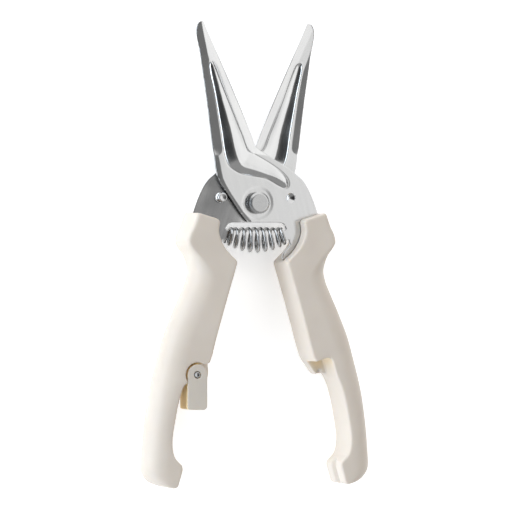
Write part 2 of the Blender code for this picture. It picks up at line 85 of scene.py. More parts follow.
# Sheet steel
PLATE_INNER = 0.5
PLATE_OUTER = 2.3
LEAST_THICK = 0.25
BLADE_INNER = 0.8
BLADE_OUTER = 2.1
BLADE_SPAN = (18.0, 30.0)            # from the plate's heights to the blade's
TIP = 79.7
EDGE_INNER = 0.15
EDGE_OUTER = 0.8
EDGE_START = (21.0, 24.0)            # the cutting edge is sharp above this
EDGE_KEEP = (0.2, 1.2)               # distances from it where the rounding grows back
LAND_SLOPE = 0.3
INNER_SLOPE = 0.2
SHOULDER = (16.0, 23.0)
SHOULDER_RISE = 1.6
CHAMFER = 0.22
LAND_SOFT = 0.12                     # how softly one slope runs into the next
BEVEL_SOFT = 0.06
INNER_BEVEL_SOFT = 0.05

# The flange along the blade's back
FLANGE_SLOPE = 0.27
FLANGE_END = 25.2
FLANGE_WIDTH = 2.8
FLANGE_TAPER = 0.022
FLANGE_FOOT = (-10.5, FLANGE_END + 0.9)
FLANGE_LIMIT = 0.62                  # past this share of its width the flange runs out upwards
FLANGE_RUNOUT = 0.9
FLANGE_REACH = 5.0
INNER_FLANGE_END = 27.1              # on the inner face it ends on a slant
INNER_FLANGE_SLANT = 2.5
INNER_FLANGE_WIDTH = 2.2
INNER_FLANGE_TAPER = 0.014
INNER_RUNOUT = 0.3
INNER_FADE = 0.6                     # the inner bevel fades out towards the tip
INNER_FADE_SPAN = (TIP - 24.0, TIP - 8.0)
BAND_WIDTH = 1.9                     # the narrow bevel that follows the flange down the shoulder
BAND_LEAST = 0.45
BAND_SPAN = (6.0, 20.0)
BAND_SLOPE = 0.3
BAND_REACH = 4.0
NO_LIMIT = 9.0                       # a height that no face reaches

# The pressed rib, the bow and the dish round the rivet
RIDGE_WALL = 0.50                    # crest height for each millimetre from the outline to the crest
RIDGE_ROUND = 1.3
RIDGE_FOOT = (-0.2, 0.4)             # where the wall rises gently, by its distance from the outline
RIDGE_LINE_DEEP = 0.065              # the press leaves a fine sunk line round the rib
RIDGE_LINE_WIDE = 0.32
BOW_START = 3.0                      # the plate's outer part leans away from the shear plane
BOW_SLOPE = 0.115
BOW_SOFT = 3.0
BOW_FADE = (0.0, 14.0)
DISH_RADIUS = 6.4
DISH_SIDE = 0.55
DISH_DEPTH = 0.5

# The blade's mesh
LINE_STEP = 0.6
SHEET_STEP = 0.42
ROW_SHARE = 0.866                    # row height of even triangles, for each step
SLOPE_STEP = 0.04
CLEAR_OF_LINES = 0.3
CLEAR_OF_RIDGE = 0.6
RIM_ROWS = (0.1, 0.22)
RIDGE_ROWS = (0.14, 0.28, 0.44)

# Pins and washers
RIVET_HOLE = 3.2
RIVET_SHANK = 3.0
RIVET_HEAD = 4.55
RIVET_HIGH = 3.0
RIVET_FACE = 3.7
RIVET_CLOSED = 2.1
TOOL_RINGS = 34
RING_STEP = 0.1
RING_DEEP = 0.002
REAR_WASHER = 0.6
STOP_PIN = (15.2, -2.4)
STOP_HOLE = 2.15
STOP_SHANK = 1.85
STOP_POST = 2.05
LOCK_PIN_RADIUS = 1.2
LOCK_PIN_BACK = -7.6

# Spring
WIRE = 0.7
COIL = 4.85
COIL_END = 3.1                       # the spring is a barrel, narrow where it sits on the lugs
SEAT = (8.75, -16.7)
TURNS = 9.5
CLOSED_TURNS = 1.25

# Handles
HALF_THICK = 8.5
BLOCK_EDGE = 1.6
INNER_EDGE = 0.9
EDGE_TURNS = (90, 67, 45, 22, 0)
GRIP_SPAN = (25.5, 37.0)             # from a block to a full round
GRIP_ACROSS = 9.5
GRIP_FLAT = 2.2
GRIP_HIGH = HALF_THICK - 0.4
TOP_SLANT = -0.02
TOP_SPAN = (12.4, 22.4)
TOP_MIDDLE = 14.0
END_ROUND = 0.8
END_CLEAR = 0.9
LEVEL_START = 1.0
LEVEL_STEP = 0.8
TANG_CLEAR = 0.35
GROOVE_START = -3.0
GROOVE_DEEP = 3.5
GROOVE_OPEN = 5.0
GROOVE_ENDS = (-112.0, -128.0)
SHELF = -2.2
SHELF_LEFT = -4.0
SHELF_FOOT = -80.5
SHELF_CORNER = (8.4, -73.0)
SHELF_ROUND = 1.9
NOTCH_DEEP = -5.4
NOTCH_FLARE = 0.25
POCKET_ARC = (108, -50)
VOXEL = 0.4
PASSES = 5                           # of smoothing, which give a moulded edge its round
PAST = 2.0                           # how far a carving shape goes past the surface

# Lever
LEVER_HALF_WIDTH = 4.4
LEVER_LENGTH = 14.7
LEVER_CORNERS = ((1.0, 0.2), (1.8, 0.4))
LEVER_BACK = -1.2
LEVER_FRONT = 8.2
LEVER_ROUND = 0.8
LEVER_VOXEL = 0.25
PEG_REACH = 13.6
PEG_RADIUS = 0.85
PEG_END = -4.8

# Runs of the blade's outline: a smooth line goes through each run's points, and runs meet at corners
BLADE_RUNS = [
    [(0.1, 79.7), (-1.6, 79.9), (-3.3, 78.3), (-4.3, 75.8), (-5.4, 68.2), (-8.4, 48.0), (-11.9, 28.0),
     (-13.5, 18.0), (-13.5, 14.4), (-12.6, 11.2), (-10.6, 5.3), (-8.2, -2.0), (-6.1, -6.3), (-5.0, -7.0)],
    [(-5.0, -7.0), (7.2, -10.9)],
    [(7.2, -10.9), (8.6, -11.9), (9.1, -13.6), (9.0, -14.3)],
    [(9.0, -14.3), (6.45, -14.7)],
    [(6.45, -14.7), (6.45, -18.7)],
    [(6.45, -18.7), (9.0, -19.1)],
    [(9.0, -19.1), (8.9, -21.2)],
    [(8.9, -21.2), (4.5, -24.2), (4.1, -26.0), (7.5, -29.5)],
    [(7.5, -29.5), (7.2, -56.0)],
    [(7.2, -56.0), (9.0, -58.5), (13.5, -58.5), (15.6, -56.0)],
    [(15.6, -56.0), (15.4, -36.0)],
    [(15.4, -36.0), (20.5, -27.5), (24.4, -20.0), (24.9, -12.6), (24.7, -7.1), (23.8, -0.7), (22.6, 2.9),
     (20.6, 6.2), (18.4, 9.3), (14.9, 12.9), (9.2, 19.6), (6.9, 22.7)],
    [(6.9, 22.7), (6.3, 30.2), (3.75, 52.1), (0.75, 74.2), (0.1, 79.7)]]
CUTTING_EDGE = [(0.1, 79.7), (0.75, 74.2), (6.3, 30.2), (6.9, 22.7), (9.2, 19.6), (14.9, 12.9), (18.4, 9.3)]
SPINE = [(-3.3, 82.0), (-4.3, 75.8), (-5.4, 68.2), (-8.4, 48.0), (-11.9, 28.0)]
SHOULDER_LINE = [
    (-12.6, 24.0), (-13.5, 18.0), (-13.5, 14.4), (-12.6, 11.2), (-10.6, 5.3), (-8.2, -2.0), (-6.1, -6.3)]
RIDGE_OUTLINE = [
    (-2.4, 62.9), (-1.0, 62.5), (0.0, 60.6), (1.1, 44.6), (2.4, 29.7), (3.0, 23.1), (4.6, 20.3), (8.6, 16.1),
    (12.6, 11.6), (15.1, 8.0), (16.2, 4.9), (15.6, 2.7), (13.8, 2.2), (11.5, 3.9), (7.0, 8.3), (0.5, 11.7),
    (-3.4, 13.8), (-5.8, 16.0), (-7.6, 18.6), (-8.1, 22.0), (-7.8, 26.0), (-6.7, 33.0), (-4.7, 49.0),
    (-3.4, 61.0)]
RIDGE_CREST = [
    (-2.0, 61.0), (-2.2, 53.0), (-2.5, 46.0), (-2.9, 33.0), (-3.7, 24.0), (-3.6, 20.5), (-2.5, 17.2),
    (0.8, 14.9), (4.4, 12.6), (10.8, 7.8), (14.2, 4.6)]

# Handle lines, (distance below the rivet, x)
HANDLE_OUTER = [
    (12.4, 26.6), (18.6, 26.8), (22.5, 27.4), (25.0, 27.3), (26.6, 26.5), (28.4, 24.7), (30.3, 22.7),
    (33.0, 21.4), (37.5, 20.0), (41.0, 19.8), (46.0, 20.3), (56.6, 21.6), (67.4, 22.4), (78.0, 22.1),
    (88.3, 21.5), (98.4, 20.1), (108.4, 18.2), (117.0, 16.3), (121.0, 15.2), (123.3, 13.7), (125.3, 10.5)]
UPPER_INNER = [
    (12.4, 16.8), (13.0, 16.0), (13.8, 15.7), (17.0, 15.1), (20.4, 13.0), (23.1, 10.2), (25.1, 6.8),
    (26.4, 4.0), (27.3, 3.1), (39.0, 3.0), (53.0, 2.8), (65.5, 2.4)]
RIGHT_TAB = [(68.7, 2.5), (74.0, 4.1), (77.7, 5.5), (78.5, 9.2), (79.4, 10.0)]
LEFT_NOSE = [(70.0, -0.5), (76.4, -2.4), (77.6, -2.0), (79.4, 3.0), (81.0, 7.2), (82.6, 10.2)]
LOWER_INNER = [
    (85.0, 10.8), (91.0, 10.6), (98.5, 9.8), (104.8, 8.9), (110.5, 7.0), (113.5, 4.6), (115.2, 1.3),
    (117.0, 0.5), (123.8, 0.4), (125.3, 1.6)]
TANG_SLOT = [
    (2.5, -9.0), (2.5, -26.4), (4.0, -26.5), (7.1, -29.6), (6.8, -56.2), (8.8, -58.9), (13.7, -58.9),
    (16.0, -56.2), (15.8, -36.1), (20.8, -27.7), (24.8, -20.1), (25.1, -9.0)]
POCKET_ABOVE = [(-7.0, -63.0), (2.3, -63.0), (2.6, -70.9)]
POCKET_BELOW = [(9.2, -84.5), (-7.0, -84.5)]

# Colours, linear
CREAM, CREAM_SHADE = (0.66, 0.593, 0.52), (0.62, 0.553, 0.48)
LEVER_CREAM, LEVER_SHADE = (0.62, 0.57, 0.50), (0.585, 0.535, 0.47)
# Painted bounce light: a honey colour mixed into the plastic on shaded walls that get only bounced light; the
# glow numbers set where and how strongly it is painted
PAINTED_BOUNCE_HONEY = (1.0, 0.78, 0.42)            # painted bounce light, for walls lit only by their neighbours
WALL_LIP = 0.9
POCKET_GLOW = 1.6
SHELF_GLOW = 0.5
SHELF_GLOW_AT = (7.6, -72.4)
SHELF_GLOW_REACH = 3.6
SHELF_GLOW_TOP = -70.4

# Light: levels by direction about the tool's long axis, in degrees from straight up, left below zero
SKY_STOPS = [
    (-90, 2.8), (-79, 4.7), (-61, 4.7), (-55, 0.20), (-51, 0.05), (-24, 0.05), (-10, 0.25), (12, 0.30),
    (19, 1.03), (24, 1.16), (62, 1.44), (70, 1.1), (77, 0.12), (90, 0.12)]
STRIP_EDGE = -50
STRIP_TINT = (0.87, 0.955, 1.05)
END_PANELS = ((0.42, 0.66, 1.4), (-0.2, -0.65, 0.40))
PANEL_FOOT = (0.12, 0.42)

# Camera
VIEW_LEAN = math.radians(22)
VIEW_AWAY = 1.5
VIEW_WIDTH = 0.2155
VIEW_MIDDLE = (0.0002, -0.0008)


# --- frames and objects ---------------------------------------------------------------------------

def front_frame():
    """Where the half drawing lies in the tool at rest."""
    return Matrix.Translation(PIVOT) @ Matrix.Rotation(OPEN_ANGLE, 4, "Z")


def rear_frame():
    turned_over = Matrix.Rotation(math.pi, 4, "Y")
    return Matrix.Translation(PIVOT) @ Matrix.Rotation(-OPEN_ANGLE, 4, "Z") @ turned_over


def flat_frame():
    return Matrix.Translation(PIVOT)


def lever_frame():
    """The lever's own millimetres: its pin is the origin and it hangs down -Y."""
    return Matrix.Translation(LEVER_PIN)


LEVER_IN_HALF = (rear_frame().inverted() @ LEVER_PIN) / MM


def new_mesh(name, verts, faces, where):
    """A mesh in the row frame from millimetre coordinates in one of the frames."""
    mesh = bpy.data.meshes.new(name)
    mesh.from_pydata([where @ (Vector(v) * MM) for v in verts], [], faces)
    return mesh


def add_object(name, mesh, finish=None, smooth_angle=None):
    """Adds a piece; with an angle, only edges sharper than it stay hard."""
    if smooth_angle is not None:
        tidy = bmesh.new()
        tidy.from_mesh(mesh)
        bmesh.ops.recalc_face_normals(tidy, faces=tidy.faces)
        tidy.to_mesh(mesh)
        tidy.free()
        mesh.shade_smooth()
        mesh.set_sharp_from_angle(angle=math.radians(smooth_angle))
    piece = bpy.data.objects.new(name, mesh)
    bpy.context.scene.collection.objects.link(piece)
    if finish:
        mesh.materials.clear()
        mesh.materials.append(finish)
    return piece


def settle(piece, body, slot, *nodes):
    """The piece moves with its body and stands for its CAD nodes."""
    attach(piece, body)
    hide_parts(*nodes)
    return piece


# --- curves ---------------------------------------------------------------------------------------

def smooth_curve(points):
    """A curve through (t, value) points that never overshoots them."""
    slopes = [(b[1] - a[1]) / (b[0] - a[0]) for a, b in zip(points, points[1:])]
    tangents = [slopes[0]]
    for left, right in zip(slopes, slopes[1:]):
        tangents.append(2 * left * right / (left + right) if left * right > 0 else 0.0)
    tangents.append(slopes[-1])

    def value(t):
        index = 0
        while index < len(points) - 2 and t > points[index + 1][0]:
            index += 1
        (t0, v0), (t1, v1) = points[index], points[index + 1]
        span = t1 - t0
        u = (t - t0) / span
        m0, m1 = tangents[index] * span, tangents[index + 1] * span
        return (v0 * (2 * u ** 3 - 3 * u ** 2 + 1) + m0 * (u ** 3 - 2 * u ** 2 + u)
                + v1 * (3 * u ** 2 - 2 * u ** 3) + m1 * (u ** 3 - u ** 2))
    return value


def spline(points, step, closed=False):
    """A centripetal Catmull-Rom line with a point about every step; open ends go straight."""
    knots = [np.array(p, float) for p in points]
    if closed:
        knots = [knots[-1], *knots, knots[0], knots[1]]
    else:
        knots = [2 * knots[0] - knots[1], *knots, 2 * knots[-1] - knots[-2]]
    made = []
    for p0, p1, p2, p3 in zip(knots, knots[1:], knots[2:], knots[3:]):
        t1 = np.linalg.norm(p1 - p0) ** 0.5
        t2 = t1 + np.linalg.norm(p2 - p1) ** 0.5
        t3 = t2 + np.linalg.norm(p3 - p2) ** 0.5
        count = max(1, round(float(np.linalg.norm(p2 - p1)) / step))
        for i in range(count):
            t = t1 + (t2 - t1) * i / count
            a1 = (t1 - t) / t1 * p0 + t / t1 * p1
            a2 = (t2 - t) / (t2 - t1) * p1 + (t - t1) / (t2 - t1) * p2
            a3 = (t3 - t) / (t3 - t2) * p2 + (t - t2) / (t3 - t2) * p3
            b1 = (t2 - t) / t2 * a1 + t / t2 * a2
            b2 = (t3 - t) / (t3 - t1) * a2 + (t - t1) / (t3 - t1) * a3
            made.append((t2 - t) / (t2 - t1) * b1 + (t - t1) / (t2 - t1) * b2)
    if not closed:
        made.append(knots[-2])
    return np.array(made)


def circle(centre, radius, count):
    turn = 2 * math.pi / count
    return np.array([(centre[0] + radius * math.cos(i * turn), centre[1] + radius * math.sin(i * turn))
                     for i in range(count)])


def arc(centre, radius, first, last, count):
    """Points from one angle to another, in degrees."""
    steps = [math.radians(first + (last - first) * i / count) for i in range(count + 1)]
    return [(centre[0] + radius * math.cos(a), centre[1] + radius * math.sin(a)) for a in steps]


def distance(points, line, closed=False):
    """Distance from each point to a line."""
    line = np.asarray(line, float)
    starts, ends = (line, np.roll(line, -1, 0)) if closed else (line[:-1], line[1:])
    best = np.full(len(points), np.inf)
    for a, b in zip(starts, ends):
        run = b - a
        along = np.clip((points - a) @ run / (run @ run), 0.0, 1.0)
        best = np.minimum(best, np.hypot(*(points - a - along[:, None] * run).T))
    return best


def inside(points, loop):
    """True for the points within a closed loop."""
    found = np.zeros(len(points), bool)
    x, y = points.T
    for (x0, y0), (x1, y1) in zip(loop, np.roll(loop, -1, 0)):
        if y0 != y1:
            crosses = ((y0 > y) != (y1 > y)) & (x < x0 + (y - y0) * (x1 - x0) / (y1 - y0))
            found ^= crosses
    return found


def ramp(value, low, high):
    """0 below low, 1 above high, smooth between."""
    t = np.clip((value - low) / (high - low), 0.0, 1.0)
    return t * t * (3 - 2 * t)


def soft_min(a, b, blend):
    """The lower of two heights, with a small round where they meet."""
    h = np.clip(0.5 + 0.5 * (b - a) / blend, 0.0, 1.0)
    return b + (a - b) * h - blend * h * (1 - h)


# --- blades ---------------------------------------------------------------------------------------

BLADE_OUTLINE = np.vstack([spline(run, LINE_STEP)[:-1] for run in BLADE_RUNS])
RIDGE_LOOP = spline(RIDGE_OUTLINE, LINE_STEP / 2, closed=True)
CREST_LINE = spline(RIDGE_CREST, LINE_STEP)
CREST_SIDE = distance(CREST_LINE, RIDGE_LOOP, True)
HOLES = [circle((0, 0), RIVET_HOLE, 72), circle(STOP_PIN, STOP_HOLE, 48)]
# The flange's middle, brought down to its foot
FLANGE_LINE = [(x + 0.5 * (FLANGE_WIDTH + (TIP - y) * FLANGE_TAPER), y) for x, y in SPINE]
FLANGE_LINE[-1] = FLANGE_FOOT


def ridge_lift(points):
    """Height of the pressed rib above the sheet: a rounded roof, with a fine sunk line round it."""
    deep = np.where(inside(points, RIDGE_LOOP), distance(points, RIDGE_LOOP, True), 0.0)
    rise = deep / np.maximum(deep + distance(points, CREST_LINE), 0.05)
    square = ((points[:, None, :] - CREST_LINE[None]) ** 2).sum(2)
    weight = np.exp(square.min(1)[:, None] - square)
    tall = RIDGE_WALL * (weight @ CREST_SIDE) / weight.sum(1)
    line = RIDGE_LINE_DEEP * np.exp(-(distance(points, RIDGE_LOOP, True) / RIDGE_LINE_WIDE) ** 2)
    return tall * (1 - (1 - rise) ** RIDGE_ROUND) * ramp(deep, *RIDGE_FOOT) - line


def round_edges(points, radius):
    """How far the surface drops beside the outline and the rivet's hole; the cutting edge stays sharp."""
    near = np.minimum(distance(points, BLADE_OUTLINE, True), distance(points, HOLES[0], True))
    blunt = 1 - ramp(points[:, 1], *EDGE_START)
    share = np.maximum(ramp(distance(points, CUTTING_EDGE), *EDGE_KEEP), blunt)
    return share * radius * (1 - np.sqrt(1 - np.clip(1 - near / radius, 0.0, 1.0) ** 2))


def outer_height(points):
    """The face away from the shear plane: land, flange, shoulder band, dish and rib."""
    x, y = points.T
    height = PLATE_OUTER + (BLADE_OUTER - PLATE_OUTER) * ramp(y, *BLADE_SPAN)
    rise = SHOULDER_RISE * (1 - ramp(y, *SHOULDER))
    land = EDGE_OUTER + rise + LAND_SLOPE * distance(points, CUTTING_EDGE)
    width = FLANGE_WIDTH + (TIP - y) * FLANGE_TAPER
    from_spine = distance(points, SPINE)
    across = from_spine + distance(points, CUTTING_EDGE)
    corner = np.minimum(height, EDGE_OUTER + LAND_SLOPE * (across - width))
    height = soft_min(height, land, LAND_SOFT)
    flange = corner - FLANGE_SLOPE * (width - from_spine)
    runout = np.clip(distance(points, FLANGE_LINE) - FLANGE_LIMIT * width, 0.0, None)
    flange = flange + FLANGE_RUNOUT * runout
    height = soft_min(height, np.where(y > FLANGE_END - FLANGE_REACH, flange, NO_LIMIT), BEVEL_SOFT)
    narrow = BAND_WIDTH * (BAND_LEAST + (1 - BAND_LEAST) * ramp(y, *BAND_SPAN))
    band = PLATE_OUTER - BAND_SLOPE * (narrow - distance(points, SHOULDER_LINE))
    height = soft_min(height, np.where(y < FLANGE_END + BAND_REACH, band, NO_LIMIT), BEVEL_SOFT)
    reach = np.hypot(x, y)
    height = height - DISH_DEPTH * (1 - ramp(reach, DISH_RADIUS, DISH_RADIUS + DISH_SIDE))
    return height + ridge_lift(points) - round_edges(points, CHAMFER)


def inner_height(points):
    """The face at the shear plane: land, flange, the plate's bow and the hollow behind the rib."""
    x, y = points.T
    height = PLATE_INNER + (BLADE_INNER - PLATE_INNER) * ramp(y, *BLADE_SPAN)
    height = soft_min(height, EDGE_INNER + INNER_SLOPE * distance(points, CUTTING_EDGE), BEVEL_SOFT)
    fade = INNER_FADE * ramp(y, *INNER_FADE_SPAN)
    width = INNER_FLANGE_WIDTH + (TIP - y) * INNER_FLANGE_TAPER
    flange = BLADE_INNER - FLANGE_SLOPE * (width - distance(points, SPINE)) + fade
    beyond = INNER_FLANGE_END - y - INNER_FLANGE_SLANT * (x - BLADE_OUTLINE[:, 0].min())
    flange = flange + INNER_RUNOUT * np.clip(beyond, 0.0, None)
    height = soft_min(height, flange, INNER_BEVEL_SOFT)
    lean = np.clip(x - BOW_START, 0.0, None)
    height = height + BOW_SLOPE * lean ** 2 / (lean + BOW_SOFT) * (1 - ramp(y, *BOW_FADE))
    return height + ridge_lift(points) + round_edges(points, CHAMFER)


def surface_normals(height, points, up):
    """Unit normals of a height field, from its slopes."""
    h = SLOPE_STEP
    slope_x = (height(points + [h, 0]) - height(points - [h, 0])) / (2 * h)
    slope_y = (height(points + [0, h]) - height(points - [0, h])) / (2 * h)
    normals = np.column_stack([-slope_x, -slope_y, np.ones(len(points))]) * up
    return normals / np.linalg.norm(normals, axis=1)[:, None]


def fill_points(loops):
    """Evenly staggered points within the outline, clear of its lines and of the ridge."""
    low, high = BLADE_OUTLINE.min(0), BLADE_OUTLINE.max(0)
    rows = int((high[1] - low[1]) / (SHEET_STEP * ROW_SHARE))
    columns = int((high[0] - low[0]) / SHEET_STEP)
    grid = np.array([
        (low[0] + (column + 0.5 * (row % 2)) * SHEET_STEP, low[1] + row * SHEET_STEP * ROW_SHARE)
        for row in range(rows + 1) for column in range(columns + 1)])
    grid = grid[inside(grid, BLADE_OUTLINE)]
    for loop in loops:
        grid = grid[distance(grid, loop, True) > CLEAR_OF_LINES]
    return grid[distance(grid, RIDGE_LOOP, True) > CLEAR_OF_RIDGE]


def rows_beside(loop, steps):
    """Rows of points on both sides of a loop, so that its round is finely meshed."""
    along = np.roll(loop, -1, 0) - np.roll(loop, 1, 0)
    side = np.column_stack([-along[:, 1], along[:, 0]]) / np.linalg.norm(along, axis=1)[:, None]
    rows = [(step, loop + side * step) for step in (*steps, *(-step for step in steps))]
    return [row[distance(row, loop, True) > 0.9 * abs(step)] for step, row in rows]


def sheet_plan():
    """The blade's plan, filled with small triangles: points, triangles and rim edges."""
    dish = [circle((0, 0), DISH_RADIUS, 96), circle((0, 0), DISH_RADIUS + DISH_SIDE, 96)]
    loops = [BLADE_OUTLINE, *HOLES, *dish, RIDGE_LOOP]
    points, edges = [], []
    for loop in loops:
        first = len(points)
        points += [tuple(p) for p in loop]
        edges += [(first + i, first + (i + 1) % len(loop)) for i in range(len(loop))]
    rows = [row for loop in (BLADE_OUTLINE, *HOLES) for row in rows_beside(loop, RIM_ROWS)]
    beside = np.vstack([*rows, *rows_beside(RIDGE_LOOP, RIDGE_ROWS)])
    clear = distance(beside, BLADE_OUTLINE, True) > 0.8 * RIM_ROWS[0]
    beside = beside[inside(beside, BLADE_OUTLINE) & clear]
    for hole in HOLES:
        beside = beside[~inside(beside, hole)]
    points += [tuple(p) for p in beside] + [tuple(p) for p in fill_points(loops[:-1])]
    flat, _, triangles, *_ = delaunay_2d_cdt([Vector(p) for p in points], edges, [], 0, 1e-5)
    flat = np.array([tuple(p) for p in flat])
    triangles = np.array([tuple(t) for t in triangles])
    middles = flat[triangles].mean(1)
    keep = inside(middles, BLADE_OUTLINE)
    for hole in HOLES:
        keep &= ~inside(middles, hole)
    triangles = triangles[keep]
    used = np.unique(triangles)
    renumber = np.full(len(flat), -1)
    renumber[used] = np.arange(len(used))
    flat, triangles = flat[used], renumber[triangles]
    directed = {(int(a), int(b)) for t in triangles for a, b in zip(t, np.roll(t, -1))}
    rim = sorted(edge for edge in directed if (edge[1], edge[0]) not in directed)
    return flat, triangles, rim


def rim_normals(flat, rim):
    """A normal for each corner of the rim's quads, smooth along the rim except at its sharp corners."""
    own = {}
    for a, b in rim:
        run = flat[b] - flat[a]
        own[a, b] = np.array([run[1], -run[0], 0.0]) / np.linalg.norm(run)
    meeting = {}
    for (a, b), normal in own.items():
        meeting.setdefault(a, []).append(normal)
        meeting.setdefault(b, []).append(normal)
    corners = []
    for a, b in rim:
        for i in (b, a, a, b):
            mean = np.sum([normal for normal in meeting[i] if normal @ own[a, b] > 0.8], 0)
            corners.append(mean / np.linalg.norm(mean))
    return corners


def make_blade(name, plan, where, finish):
    """Both faces and the rim of one pressed blade, with exact normals."""
    flat, triangles, rim = plan
    count = len(flat)
    top = outer_height(flat)
    bottom = np.minimum(inner_height(flat), top - LEAST_THICK)
    verts = np.vstack([np.column_stack([flat, top]), np.column_stack([flat, bottom])])
    faces = [tuple(map(int, t)) for t in triangles]
    faces += [tuple(int(count + i) for i in reversed(t)) for t in triangles]
    faces += [(b, a, count + a, count + b) for a, b in rim]
    mesh = new_mesh(name, verts, faces, where)
    above = surface_normals(outer_height, flat, 1)
    below = surface_normals(inner_height, flat, -1)
    corners = [above[i] for t in triangles for i in t] + [below[i] for t in triangles for i in reversed(t)]
    corners = np.array(corners + rim_normals(flat, rim)) @ np.array(where.to_3x3()).T
    mesh.shade_smooth()
    piece = add_object(name, mesh, finish)
    mesh.normals_split_custom_set([tuple(normal) for normal in corners])
    return piece


# --- turned and moulded shapes --------------------------------------------------------------------

def turned(name, profile, where, finish, count=64, centre=(0.0, 0.0)):
    """Spins an open (radius, z) profile whose two ends lie on the axis."""
    verts, faces = [(centre[0], centre[1], profile[0][1])], []
    rings = len(profile) - 2
    for radius, z in profile[1:-1]:
        verts += [(x, y, z) for x, y in circle(centre, radius, count)]
    verts.append((centre[0], centre[1], profile[-1][1]))
    last = len(verts) - 1
    for i in range(count):
        j = (i + 1) % count
        faces.append((0, 1 + j, 1 + i))
        for level in range(rings - 1):
            low, high = 1 + level * count, 1 + (level + 1) * count
            faces.append((low + i, low + j, high + j, high + i))
        top = 1 + (rings - 1) * count
        faces.append((top + i, top + j, last))
    return add_object(name, new_mesh(name, verts, faces, where), finish, TURNED_EDGE)


def prism(outline, low, high):
    """Vertices and faces of an outline raised between two heights."""
    count = len(outline)
    verts = [(x, y, low) for x, y in outline] + [(x, y, high) for x, y in outline]
    faces = [tuple(reversed(range(count))), tuple(range(count, 2 * count))]
    faces += [(i, (i + 1) % count, count + (i + 1) % count, count + i) for i in range(count)]
    return verts, faces


def tool(name, verts, faces, where):
    """A closed shape that carves or joins, removed when the piece is done."""
    mesh = new_mesh(name, verts, faces, where)
    return add_object(name, mesh, None, CARVED_EDGE)


def moulded(name, mesh, cutters, joins, voxel, finish):
    """Carves a blank, then remeshes it finely so that every edge has a moulded round."""
    blank = add_object(name + "_blank", mesh, None, CARVED_EDGE)
    for operation, tools in (("UNION", joins), ("DIFFERENCE", cutters)):
        for other in tools:
            step = blank.modifiers.new(other.name, "BOOLEAN")
            step.operation = operation
            step.solver = "EXACT"
            step.object = other
    remesh = blank.modifiers.new("remesh", "REMESH")
    remesh.mode = "VOXEL"
    remesh.voxel_size = voxel * MM
    remesh.use_smooth_shade = True
    relax = blank.modifiers.new("relax", "SMOOTH")
    relax.factor = 0.5
    relax.iterations = PASSES
    bpy.context.view_layer.update()
    evaluated = blank.evaluated_get(bpy.context.evaluated_depsgraph_get())
    made = bpy.data.meshes.new_from_object(evaluated)
    made.name = name
    for old in [blank, *cutters, *joins]:
        bpy.data.objects.remove(old, do_unlink=True)
    made.shade_smooth()
    return add_object(name, made, finish)


def paint_bounce_light(piece, where, strength):
    """Stores how strongly painted honey bounce light tints each point's wall, from its place in one of the
    frames, in millimetres.
    """
    mesh = piece.data
    points = np.empty(len(mesh.vertices) * 3)
    mesh.vertices.foreach_get("co", points)
    back = np.array(where.inverted())
    local = (points.reshape(-1, 3) @ back[:3, :3].T + back[:3, 3]) / MM
    values = strength(local).astype(np.float32)
    mesh.attributes.new("painted_bounce", "FLOAT", "POINT").data.foreach_set("value", values)


# --- handles --------------------------------------------------------------------------------------

def handle_ring(down, inner, outer, shrink=0.0):
    """One level of a handle: flat inside, and outside it grows from a block's edge to a full round."""
    x_in, x_out = inner(down), outer(down)
    grip = float(ramp(down, *GRIP_SPAN))
    across = BLOCK_EDGE + grip * (min(GRIP_ACROSS, x_out - x_in - GRIP_FLAT) - BLOCK_EDGE)
    high = BLOCK_EDGE + grip * (GRIP_HIGH - BLOCK_EDGE)
    slant = TOP_SLANT * (1 - float(ramp(down, *TOP_SPAN)))
    front = [(x_in + INNER_EDGE * (1 - math.sin(a)), HALF_THICK - INNER_EDGE * (1 - math.cos(a)))
             for a in (math.radians(t) for t in EDGE_TURNS)]
    front += [(x_out - across + x, HALF_THICK - high + z * high / across)
              for x, z in reversed(arc((0, 0), across, 0, 90, 18))]
    middle = (x_in + x_out) / 2
    ring = front + [(x, -z) for x, z in reversed(front)]
    ring = [(x - math.copysign(min(shrink, abs(x - middle)), x - middle), z - math.copysign(shrink, z))
            for x, z in ring]
    return [(x, -down + slant * (x - TOP_MIDDLE), z) for x, z in ring]


def handle_blank(name, inner_points, where):
    """Joins finely spaced levels of one handle, with rounded ends."""
    inner, outer = smooth_curve(inner_points), smooth_curve(HANDLE_OUTER)
    first, last = HANDLE_OUTER[0][0], HANDLE_OUTER[-1][0]
    even = np.arange(first + LEVEL_START, last - LEVEL_START, LEVEL_STEP).round(3)
    levels = sorted({t for t, _ in inner_points} | set(even))
    turns = [math.radians(t) for t in (0, 30, 60, 90)]
    rounds = [(END_ROUND * (1 - math.cos(a)), END_ROUND * (1 - math.sin(a))) for a in turns]
    rings = [handle_ring(first + along, inner, outer, shrink) for along, shrink in rounds]
    rings += [handle_ring(t, inner, outer) for t in levels if first + END_CLEAR < t < last - END_CLEAR]
    rings += [handle_ring(last - along, inner, outer, shrink) for along, shrink in reversed(rounds)]
    size = len(rings[0])
    verts = [v for ring in rings for v in ring]
    faces = [tuple(range(size)), tuple(reversed(range(len(verts) - size, len(verts))))]
    for level in range(len(rings) - 1):
        a, b = level * size, (level + 1) * size
        faces += [(a + i, b + i, b + (i + 1) % size, a + (i + 1) % size) for i in range(size)]
    return new_mesh(name, verts, faces, where)


def common_cutters(side, where):
    """The slot for the blade's tang, and the groove across the foot."""
    slot = prism(TANG_SLOT, PLATE_INNER - TANG_CLEAR, PLATE_OUTER + TANG_CLEAR)
    groove = [(GROOVE_START, -GROOVE_OPEN), (GROOVE_DEEP, 0.0), (GROOVE_START, GROOVE_OPEN)]
    verts = [(x, y, z) for y in GROOVE_ENDS for x, z in groove]
    faces = [(0, 2, 1), (3, 4, 5), (0, 1, 4, 3), (1, 2, 5, 4), (2, 0, 3, 5)]
    return [tool(side + "_slot", *slot, where), tool(side + "_groove", verts, faces, where)]


